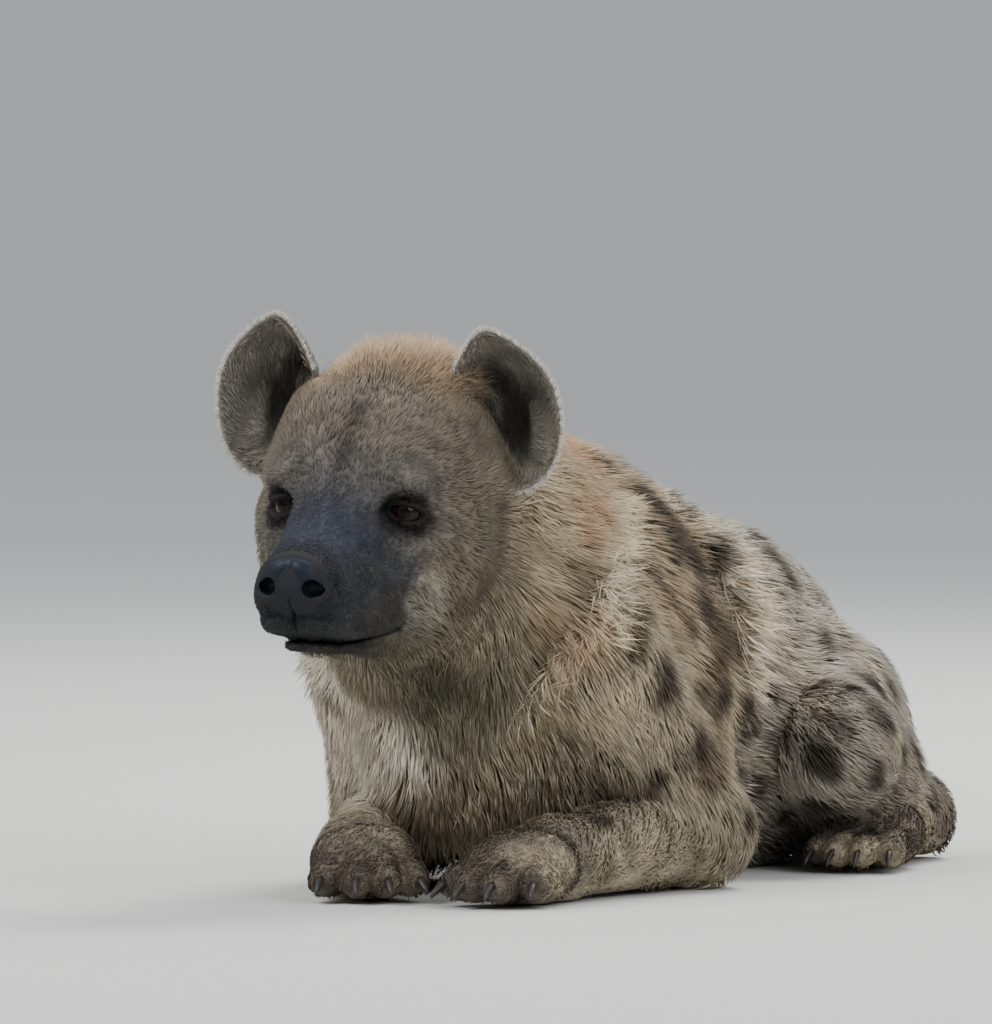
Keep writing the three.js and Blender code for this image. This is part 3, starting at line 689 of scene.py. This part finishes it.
flesh_nodes = [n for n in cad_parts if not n.startswith(("eye", "ear", "nose"))]
points = np.concatenate([body_points, head_points])
quads = np.concatenate([body_quads, head_quads + len(body_points)])
dense = linked("skin", mesh_of("skin", points, [quads]))
dense.modifiers.new("thinner where it is smooth", "DECIMATE").ratio = 0.455  # to under 200,000 triangles
skin_mesh = bpy.data.meshes.new_from_object(dense.evaluated_get(bpy.context.evaluated_depsgraph_get()))
bpy.data.meshes.remove(dense.data)
skin_mesh.name = "skin"
points = np.empty(3 * len(skin_mesh.vertices), np.float32)
skin_mesh.vertices.foreach_get("co", points)
points = points.reshape(-1, 3).astype(float) * 1000 - shift
light = marked(points, coat_at(survey(points))[:, 7:]) * 1.1
material, shader, start = material_of("hide", Roughness=0.82, Specular_IOR_Level=0.25)
combed = start.node("ShaderNodeMapping", Vector=start.place(), Scale=(900, 190, 420))
strands = start.node("ShaderNodeTexNoise", Vector=combed, Scale=1.0, Detail=3.0)
soft = start.node("ShaderNodeTexNoise", Vector=start.place(), Scale=240.0, Detail=4.0)
feed(shader, "Base Color", start.tint((1 - strands) * 0.25, (0.006, 0.005, 0.005)))
relief = strands * 0.7 + soft * 0.3
feed(shader, "Normal", start.node("ShaderNodeBump", Strength=0.8, Distance=0.0012, Height=relief))
piece_of(tinted(skin_mesh, light), material, "coat", *flesh_nodes)

# Eyes: wet, glossy balls in their sockets, dark brown, with a domed cornea, a round black pupil and a
# darker rim to the iris. Each is a sphere, pushed out at the front, that looks a little outward.
def mesh_from(shape, name):
    """A smooth mesh of what bmesh operators made."""
    mesh = bpy.data.meshes.new(name)
    shape.to_mesh(mesh)
    mesh.polygons.foreach_set("use_smooth", np.ones(len(mesh.polygons), bool))
    return mesh


sides = {"left": 1, "right": -1}
for side, sign in sides.items():
    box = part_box("eye_" + side)
    middle = (Vector(box[0]) + Vector(box[1])) / 2
    way = Vector(head_axes @ np.array([sign * math.sin(0.36), -math.cos(0.36), -0.03])).normalized()
    eyeball = bmesh.new()
    bmesh.ops.create_uvsphere(eyeball, u_segments=48, v_segments=32, radius=eye_radius / 1000)
    turn = Vector((0, 0, 1)).rotation_difference(way).to_matrix()
    for vert in eyeball.verts:
        front = vert.co.z * 1000 / eye_radius
        bulge = 1 + 0.05 * max(0.0, (front - 0.72) / 0.28) ** 1.2
        vert.co = middle + turn @ (vert.co * bulge)
    material, shader, start = material_of("eye_" + side, Roughness=0.05, Specular_IOR_Level=0.16)
    from_middle = start.vector("SUBTRACT", i0=start.place(), i1=tuple(middle))
    front = start.vector("DOT_PRODUCT", 1, i0=start.vector("NORMALIZE", i0=from_middle), i1=tuple(way))
    rays = start.node("ShaderNodeTexNoise", Vector=start.place(), Scale=900.0, Detail=3.0)
    stops = ((0.6, (0.01, 0.007, 0.006)), (0.966, (0.0012, 0.0012, 0.0012)),  # the white's edge, the pupil
             (0.74, (0.006, 0.004, 0.003)), (0.8, (0.01, 0.005, 0.003)), (0.95, (0.018, 0.009, 0.005)))
    rings = start.node("ShaderNodeValToRGB", {"stops": stops}, Fac=front + (rays - 0.5) * 0.04)
    feed(shader, "Base Color", rings)
    piece_of(mesh_from(eyeball, "eyeball_" + side), material, "eye", "eye_" + side)

# Nose: a naked black pad of moist, finely pebbled skin at the end of the muzzle, with wings round the
# nostrils, a shelf above and a split below. It is cut from the face's form, swollen by the wings.
def nose_distance(seen):
    x, y, z = seen.T
    d = survey(from_head(seen))
    wings = both_sides(ball((17.5, -101, -58), (11.5, 14, 12), 0.2))(x, y, z)
    shelf = ball((0, -104, -42), (21, 11, 9))(x, y, z)
    face = melt(6, whole(d) + coat_at(d)[:, 0], wings, shelf)
    pad = -soften(-(face - 0.4), -ball(*nose_reach)(x, y, z), 13)
    dent = ball((0, -120, -55), (2.6, 6, 15))(x, y, z)
    pad = hollow(2.4, hollow(8, pad, dent), nostrils(x, y, z))
    split = np.maximum(abs(x) - 0.4, np.maximum(z + 56, -face - 2.5))
    return hollow(1.8, pad, split)


seen_nose, nose_quads = surface_of(nose_distance, (-36, -128, -84), (36, -76, -22), nose_step, 6)
material, shader, start = material_of("nose_skin", Base_Color=(0.006, 0.008, 0.012, 1), Roughness=0.46,
                                      Specular_IOR_Level=0.3, Specular_Tint=(0.7, 0.84, 1, 1))
pebbles = start.node("ShaderNodeTexVoronoi", Vector=start.place(), Scale=820.0)
feed(shader, "Normal", start.node("ShaderNodeBump", Strength=0.45, Distance=0.0005, Height=1 - pebbles))
piece_of(mesh_of("nose_pad", from_head(seen_nose), [nose_quads]), material, "nose_skin", "nose")

# Ears: large round cups of thin gristle under short-haired hide, dusky inside with a dark hollow. One
# is made in its own frame, foot at the origin and open to -Y, then placed on the head and mirrored.
ear_up, ear_across = np.array([-0.139, -0.123, 0.983]), np.array([0.977, 0.142, 0.157])
ear_rear = np.cross(ear_up, ear_across)
ear_axes = np.stack([ear_across, ear_rear / np.linalg.norm(ear_rear), ear_up], 1)
ear_foot = np.array([104, 95, 15])
ear_tall, ear_wide, ear_deep, ear_forward, ear_tilt = 122, 41, 37, 13, 0.13
ear_lean = 0.13  # the left ear leans in over the crown


def ear_frame(points):
    """Places over an ear, widened toward its narrower tip: across, to the rear, up from its foot."""
    x, y, z = points.T
    return x / (1 - 0.45 * np.clip((z - 65) / 57, 0, 1) ** 2), y, z


def ear_distance(points):
    x, y, z = ear_frame(points)
    middle = (0, -ear_forward, ear_tall / 2)
    outer = ball(middle, (ear_wide + 1.6, ear_deep + ear_forward + 3, ear_tall / 2 + 1.8), ear_tilt)(x, y, z)
    inner = ball(middle, (ear_wide - 0.8, ear_deep + ear_forward, ear_tall / 2 - 0.6), ear_tilt)(x, y, z)
    cup = -soften(-outer, inner, 2)
    ridge = limb((-14, 26, 20), 3.4, (-8, 33, 74), 1.6)(x, y, z)
    inner_ridge = limb((12, 24, 16), 3.0, (16, 30, 56), 1.4)(x, y, z)
    cup = melt(12, cup, ridge, inner_ridge)
    return np.maximum(cup, -0.5 - y)


ear_points, ear_quads = surface_of(ear_distance, (-50, -6, -8), (50, 50, 132), ear_step, 6)


def ear_in_animal(points, sign):
    if sign > 0:
        points = points @ np.array(Matrix.Rotation(-ear_lean, 3, "Y")).T
    return from_head((points @ ear_axes.T + ear_foot) * np.array([sign, 1, 1]))


def ear_light(points):
    x, y, z = ear_frame(points)
    inner = ball((0, -ear_forward, ear_tall / 2),
                 (ear_wide + 0.6, ear_deep + ear_forward + 1.5, ear_tall / 2 + 0.9), ear_tilt)(x, y, z) < 0
    back, pale, dark = (light_of(colour) for colour in ((112, 98, 84), (150, 144, 132), (50, 46, 39)))
    dusk = ease(14, 38, y - 0.4 * x + 4 * cloud(points, 20, 8)) * ease(112, 76, z)
    inside = pale + (dark - pale) * dusk[:, None]
    return np.where(inner[:, None], inside, back) * (1 + 0.2 * cloud(points * (1, 1, 0.5), 9, 3))[:, None]


ear_material, shader, start = material_of("ear_hide", Roughness=0.75, Specular_IOR_Level=0.25)
combed = start.node("ShaderNodeMapping", Vector=start.place(), Scale=(800, 800, 160))
strands = start.node("ShaderNodeTexNoise", Vector=combed, Scale=1.0, Detail=3.0)
feed(shader, "Base Color", start.tint((1 - strands) * 0.7, (0.008, 0.006, 0.006)))
feed(shader, "Normal", start.node("ShaderNodeBump", Strength=0.5, Distance=0.0006, Height=strands))
for side, sign in sides.items():
    cup = mesh_of("ear_cup_" + side, ear_in_animal(ear_points, sign), [ear_quads[:, ::sign]])
    piece_of(tinted(cup, ear_light(ear_points) * 0.85), ear_material, "coat", "ear_" + side)

# Claws: blunt, curved dark horn, always out, one at the tip of each of the four toes of every foot.
# Each is a few rings of one size after another, bridged, with closed ends.
claw_length = 17
claw_mesh = bmesh.new()
for name, toes in toes_of.items():
    size = 0.88 if name.startswith("hind") else 1.0
    for root, tip, along in toes:
        base = tip + along * 8 * size
        rings = []
        for share, radius in ((0, 3.9), (0.35, 3.5), (0.7, 2.3), (0.92, 1.2)):
            middle = base + along * claw_length * size * share + Vector((0, 0, 3.5 - 11 * share ** 1.7))
            ring = bmesh.ops.create_circle(claw_mesh, segments=10, radius=radius * size,
                                           cap_ends=share in (0, 0.92))
            turn = Vector((0, 0, 1)).rotation_difference(along + Vector((0, 0, -0.7 * share))).to_matrix()
            for vert in ring["verts"]:
                vert.co = turn @ Vector((vert.co.x * 0.75, vert.co.y, 0)) + middle
            rings.append(ring["verts"])
        for a, b in zip(rings, rings[1:]):
            edges = [e for v in a + b for e in v.link_edges]
            edges = [e for e in set(edges) if (e.verts[0] in a) == (e.verts[1] in a)]
            bmesh.ops.bridge_loops(claw_mesh, edges=edges)
bmesh.ops.recalc_face_normals(claw_mesh, faces=claw_mesh.faces)
for vert in claw_mesh.verts:
    vert.co = Vector(in_part(vert.co))
material, shader, start = material_of("claw_horn", Roughness=0.45)
grain = start.node("ShaderNodeTexNoise", Vector=start.place(), Scale=600.0, Detail=3.0)
feed(shader, "Base Color", start.mixed(grain, (0.04, 0.032, 0.027, 1), (0.012, 0.01, 0.009, 1)))
piece_of(mesh_from(claw_mesh, "claws"), material, "coat")

# Coat: tufts of hair as thin, tapered blades with a ridge, rooted in the skin and lying along the
# body. They are drawn toward each other in clumps, darker at the root and paler at the tip. A profile
# lists a blade's rings: how far along it, how wide and how high, each as a share of the whole.
fur_material, shader, start = material_of("fur", Roughness=0.75, Specular_IOR_Level=0.2)
fine = start.node("ShaderNodeTexNoise", Vector=start.place(), Scale=520.0, Detail=2.0)
feed(shader, "Base Color", start.tint((1 - fine) * 0.14, (0.01, 0.008, 0.007)))
short_profile = ((0, 1.0, 0.0), (0.5, 0.85, 0.62), (1, 0, 1))
long_profile = ((0, 0.9, 0.0), (0.34, 1.0, 0.42), (0.7, 0.7, 0.8), (1, 0, 1))
uv_patch = 0.003  # one tuft's size in the unwrap


def scattered(points, normals, quads, weights, count, seed):
    """Roots spread over quads by weight, with their normals."""
    draw = np.random.default_rng(seed)
    odds = np.linalg.norm(crossed(points, quads), axis=1) / 2 * weights
    picked = draw.choice(len(quads), count, p=odds / odds.sum())
    u, v = draw.uniform(size=(2, count, 1))
    share = np.concatenate([(1 - u) * (1 - v), u * (1 - v), u * v, (1 - u) * v], 1)[:, :, None]
    roots = (points[quads[picked]] * share).sum(1)
    ups = (normals[quads[picked]] * share).sum(1)
    return roots, unit(ups), draw


def level(vectors, ups):
    return vectors - (vectors * ups).sum(1, keepdims=True) * ups


def tufts(name, roots, ups, draw, place_uv, profile, distance, slot="coat", clump=11, gather=0.42,
          spread=0.2, coat=None, light=None, paler=0.12):
    """A piece of coat from its tufts' roots, held off the skin by distance and unwrapped by place_uv."""
    count = len(roots)
    if coat is None:
        coat = coat_at(survey(roots))
    length = coat[:, 1:2] * draw.uniform(0.75, 1.2, (count, 1))
    rise = coat[:, 3:4] * draw.uniform(0.75, 1.2, (count, 1)) + 0.06 * length * cloud(roots, 30, 2)[:, None]
    width = coat[:, 2:3] * draw.uniform(0.75, 1.25, (count, 1))
    wander = np.stack([cloud(roots, 42, s) for s in (4, 5, 6)], 1) * 0.28
    lie = unit(level(unit(coat[:, 4:7]) + wander + draw.normal(0, spread, (count, 3)), ups))
    reach = np.sqrt(np.maximum(length ** 2 - rise ** 2, (0.3 * length) ** 2))
    heads = draw.permutation(count)[:max(2, count // clump)]
    tree = kdtree.KDTree(len(heads))
    for i, place in enumerate(roots[heads]):
        tree.insert(place, i)
    tree.balance()
    leader = heads[[tree.find(place)[1] for place in roots]]
    toward = unit(level(roots[leader] + lie[leader] * reach[leader] - roots, ups))
    apart = np.linalg.norm(roots[leader] - roots, axis=1, keepdims=True) + 1e-9
    share = gather * np.clip(reach / (1.6 * apart), 0, 1) ** 2
    lie = unit(lie * (1 - share) + toward * share)
    side = np.cross(ups, lie)
    roll = draw.normal(0, 0.22, (count, 1))
    side, lift = side * np.cos(roll) + ups * np.sin(roll), ups * np.cos(roll) - side * np.sin(roll)
    rings = []
    for share, wide, high in profile:
        if share == 0:
            middle = roots - ups * 0.8
        else:
            middle = roots + lie * reach * share + ups * rise * high
            if distance:
                gap = distance(middle, coat)[:, None]
                middle = middle + ups * np.clip(rise * high - gap, -0.28 * length, 0.6 * length)
            middle[:, 2] = np.maximum(middle[:, 2], 0.8 + 0.5 * high)
        if wide:
            half = side * width * wide / 2
            rings.append(np.stack([middle - half, middle + half, middle + lift * width * 0.24 * wide], 1))
        else:
            rings.append(middle[:, None])
    verts = np.concatenate(rings, 1)
    per, bands = verts.shape[1], len(rings) - 1
    edges = [(3 * band + c, 3 * band + (c + 1) % 3) for band in range(bands) for c in range(3)]
    quads = [(a, b, b + 3, a + 3) for a, b in edges[:-3]]
    tris = [(0, 2, 1)] + [(a, b, 3 * bands) for a, b in edges[-3:]]
    offset = (np.arange(count) * per)[:, None, None]
    quads, tris = ((np.array(each)[None] + offset).reshape(-1, len(each[0])) for each in (quads, tris))
    each = draw.normal(1, 0.09, count)[leader] * draw.normal(1, 0.05, count)
    each = np.clip(each * np.where(draw.uniform(size=count) < paler, 1.16, 1), 0.6, 1.5)[:, None]
    tint, patch = [], []
    for ring, (share, _, _) in zip(rings, profile):
        wide = ring.shape[1]
        here = marked(roots + lie * reach * (0.15 + 0.7 * share), coat[:, 7:]) if light is None else light
        tint.append(np.repeat((here * each * (0.92 + 0.24 * share))[:, None], wide, 1))
        patch.append(np.stack([np.linspace(0, uv_patch, wide), np.full(wide, uv_patch * share)], 1))
    tint = np.clip(np.concatenate(tint, 1).reshape(-1, 3), 0.001, 1)
    mesh = tinted(mesh_of(name, verts.reshape(-1, 3), [quads, tris]), tint)
    corner_uv = (place_uv(roots)[:, None] * 0.99 + uv_patch + np.concatenate(patch)).reshape(-1, 2)
    loops = np.concatenate([quads.ravel(), tris.ravel()])
    layer = mesh.uv_layers.new(name="OFBake")
    layer.uv.foreach_set("vector", corner_uv[loops].astype(np.float32).ravel())
    piece_of(mesh, fur_material, slot)


def round_axis(a, b, up=(0, 0, 1)):
    """An unwrap as a cylinder round the line from a to b."""
    a, way = np.array(a, float), np.array(b, float) - np.array(a, float)
    long = np.linalg.norm(way)
    way /= long
    across = np.cross(way, up)
    across /= np.linalg.norm(across)
    top = np.cross(across, way)

    def place(points):
        p = points - a
        along = np.clip((p @ way) / long, 0, 1)
        return np.stack([np.arctan2(p @ across, p @ top) / (2 * math.pi) + 0.5, along], 1)
    return place


def body_gap(middle, coat):
    return folded(middle, whole(survey(middle)), coat[:, 0])


def head_gap(middle, coat):
    return head_skin(to_head(middle), cut=False)


few = 1  # a draft's share of the tufts
centre = body_points[body_quads].mean(1)
d = survey(centre)
weights, names = shares(d, 4.0)
kinds = [kind_of(name) for name in names]
down = facing_body[body_quads].mean(1)[:, 2] < -0.5
thick = coat_at(d)[:, 1:3].prod(1) ** -0.75  # how thickly tufts stand: thinly below, nowhere underfoot
thick *= np.where(centre[:, 2] < 5, 0, 1) * np.where(down & (centre[:, 2] < 70), 0.25, 1)
thick *= behind_head(*to_head(centre).T) > -1
regions = {  # shapes, how many tufts
    "coat_neck": (("neck_base", "neck_top", "nape", "throat", "ruff"), 23500),
    "coat_shoulders": (("scapula", "triceps", "upper_arm", "breast", "mane"), 19500),
    "coat_trunk": (("ribs", "loin"), 16500),
    "coat_rump": (("croup", "thigh", "femur"), 14500),
    "coat_forelegs": (("forearm", "wrist", "forefoot"), 16000),
    "coat_hindlegs": (("shank", "heel", "sole", "hindfoot"), 9500),
    "coat_tail": (("tail", "brush"), 2500),
}
owner = (np.array([[k in shapes for k in kinds] for shapes, _ in regions.values()]) @ weights.T).argmax(0)
most_triangles = 195000  # of one piece
place = round_axis((0, -140, 150), (0, 720, 110))
for index, (name, (shapes, count)) in enumerate(regions.items()):
    profile, slot = (long_profile, "dark_brush") if name == "coat_tail" else (short_profile, "coat")
    mine = owner == index
    roots, ups, draw = scattered(body_points, facing_body, body_quads[mine], thick[mine],
                                 int(count * few), 40 + index)
    parts = math.ceil(len(roots) * (6 * len(profile) - 8) / most_triangles)
    for part in range(parts):
        chosen = np.nonzero(np.argsort(np.argsort(roots[:, 0])) * parts // len(roots) == part)[0]
        tufts(name if parts == 1 else name + "_" + "abc"[part], roots[chosen], ups[chosen], draw, place,
              profile, body_gap, slot)

centre = seen_points[head_quads].mean(1)
x, y, z = centre.T
thick = coat_at(survey(from_head(centre)))[:, 1:3].prod(1) ** -0.8  # none on eyes, lips, nose and ears
r, _, _, _, opening = eye_angles(x, y, z)
thick *= (behind_head(x, y, z) < -0.8) & ~((r < 17.5) & (opening < 1.2))
thick *= np.where((y < 14) & (abs(z - np.interp(y, mouth_y, mouth_z)) < 1.6), 0, 1)
thick *= np.where(ball(*nose_reach)(x, y, z) < -1.2, 0, 1)
ear_seen = (np.stack([abs(x), y, z], 1) - ear_foot) @ ear_axes
ear_seen = np.where(x[:, None] > 0, ear_seen @ np.array(Matrix.Rotation(-ear_lean, 3, "Y")), ear_seen)
thick *= np.where(ear_distance(ear_seen) < -0.5, 0, 1)
place = round_axis(*from_head(np.array([[0, -120, -20], [0, 150, -10]])))
for name, mine in (("coat_face", y < 50), ("coat_crown", y >= 50)):
    roots, ups, draw = scattered(head_points, facing_head, head_quads[mine], thick[mine],
                                 int(19400 * few), 60)
    coat = coat_at(survey(roots))
    crown = near(to_head(roots), (10, 112, 92), (66, 64, 42))
    coat[:, 1] += crown * 26
    coat[:, 3] += crown * 25
    tufts(name, roots, ups, draw, place, short_profile, head_gap, clump=9, gather=0.25, coat=coat,
          spread=0.18 + 0.22 * crown[:, None])

ear_normals = facing(ear_points, ear_quads)
x, y, z = ear_points[ear_quads].mean(1).T
inner_side = (ear_normals[ear_quads].mean(1) * np.stack([x, y + 13, z - 61], 1)).sum(1) < 0
out_of_head = head_skin(to_head(ear_in_animal(ear_points, 1))[ear_quads].mean(1), cut=False) > 0.5
ear_hair = (  # where, how many, width, length, rise, lie (from the ear's middle, back, up), colour
    ("rim", y < 1.2, 1500, 0.4, 4.5, 1.2, (1, 0, 0.2), (210, 204, 194)),
    ("inside", inner_side & (y >= 1.2), 1400, 0.62, 12, 2.6, (0.5, -0.6, 0.6), None),
    ("back", ~inner_side & (y >= 1.2), 800, 0.62, 8, 1.6, (0, 0.1, 1), (118, 102, 86)),
)
for side, sign in sides.items():
    parts = []
    for kind, mine, count, wide, length, rise, (out, back, up), colour in ear_hair:
        roots, ups, draw = scattered(ear_points, ear_normals, ear_quads, mine * out_of_head * 1.0,
                                     int(count * few), 80)
        if kind == "rim":
            ups = np.tile((0.0, -1.0, 0.0), (len(roots), 1))
        lie = unit((roots - (0, 0, 58)) * (1, 0, 1)) * out + (0, back, up)
        light = ear_light(roots) * 1.2 if colour is None else np.tile(light_of(colour), (len(roots), 1))
        coat = np.concatenate([np.tile((0, length, wide, rise), (len(roots), 1)), lie, light], 1)
        parts.append((roots, ups, coat))
    roots, ups, coat = (np.concatenate([part[i] for part in parts]) for i in range(3))
    turned = ear_axes.T * np.array([sign, 1, 1]) @ head_axes.T
    coat[:, 4:7] = coat[:, 4:7] @ turned
    place = round_axis(*ear_in_animal(np.array([[0, 0, 0], [0, 0, 130]]), sign), up=head_axes[:, 1])
    tufts("coat_ear_" + side, ear_in_animal(roots, sign), ups @ turned, draw, place, short_profile, None,
          gather=0.15, spread=0.22, coat=coat, light=coat[:, 7:], paler=0.2)

# Stage: a round floor of pale studio paper that sweeps up far behind, spun from one curve, with three
# soft lamps and plain bright air. The camera stands where the photo's did, with a long lens.
flat, sweep, high = 18, 6, 12
curve = [(flat + sweep * math.sin(a), sweep - sweep * math.cos(a)) for a in np.linspace(0, math.pi / 2, 12)]
dish = bmesh.new()
verts = [dish.verts.new((r, 0, h)) for r, h in [(0.01, 0), *curve, (flat + sweep, high)]]
edges = [dish.edges.new(pair) for pair in zip(verts, verts[1:])]
bmesh.ops.spin(dish, geom=verts + edges, axis=(0, 0, 1), cent=(0, 0, 0), angle=2 * math.pi, steps=64,
               use_merge=True)
bmesh.ops.recalc_face_normals(dish, faces=dish.faces)
bmesh.ops.reverse_faces(dish, faces=dish.faces)
mesh = mesh_from(dish, "studio_floor")
mesh.materials.append(material_of("studio_paper", Base_Color=(0.62, 0.62, 0.6, 1), Roughness=0.9)[0])
floor = linked("studio_floor", mesh)


def aimed(thing, place, target):
    thing.location = place
    thing.rotation_mode = "QUATERNION"
    thing.rotation_quaternion = (Vector(target) - Vector(place)).to_track_quat("-Z", "Y")


for name, place, size, power, colour in (
        ("key", (-2.2, -3.0, 4.4), 2.4, 200, (1.0, 0.98, 0.95)),
        ("fill", (4.4, -2.2, 2.6), 2.8, 120, (0.95, 0.97, 1.0)),
        ("rim", (0.6, 3.6, 3.8), 2.4, 260, (1.0, 0.98, 0.95))):
    lamp = bpy.data.lights.new(name, "AREA")
    lamp.energy, lamp.size, lamp.color = power, size, colour
    aimed(linked(name, lamp), place, (0, -0.1, 0.2))
world = bpy.data.worlds.new("studio_air")
world.use_nodes = True
air = world.node_tree.nodes["Background"].inputs
air["Color"].default_value, air["Strength"].default_value = (0.86, 0.9, 0.96, 1), 0.95
bpy.context.scene.world = world

azimuth, elevation, stand_off = math.radians(25), math.radians(1.5), 9.0
lens = bpy.data.cameras.new("camera")
lens.lens, lens.sensor_width, lens.clip_end = 427.6, 36, 100
target = Vector(in_part((17, 8.7, 282)))
back = Vector((math.sin(azimuth) * math.cos(elevation), -math.cos(azimuth) * math.cos(elevation),
               math.sin(elevation)))
camera = linked("camera", lens)
aimed(camera, target + back * stand_off, target)
bpy.context.scene.camera = camera
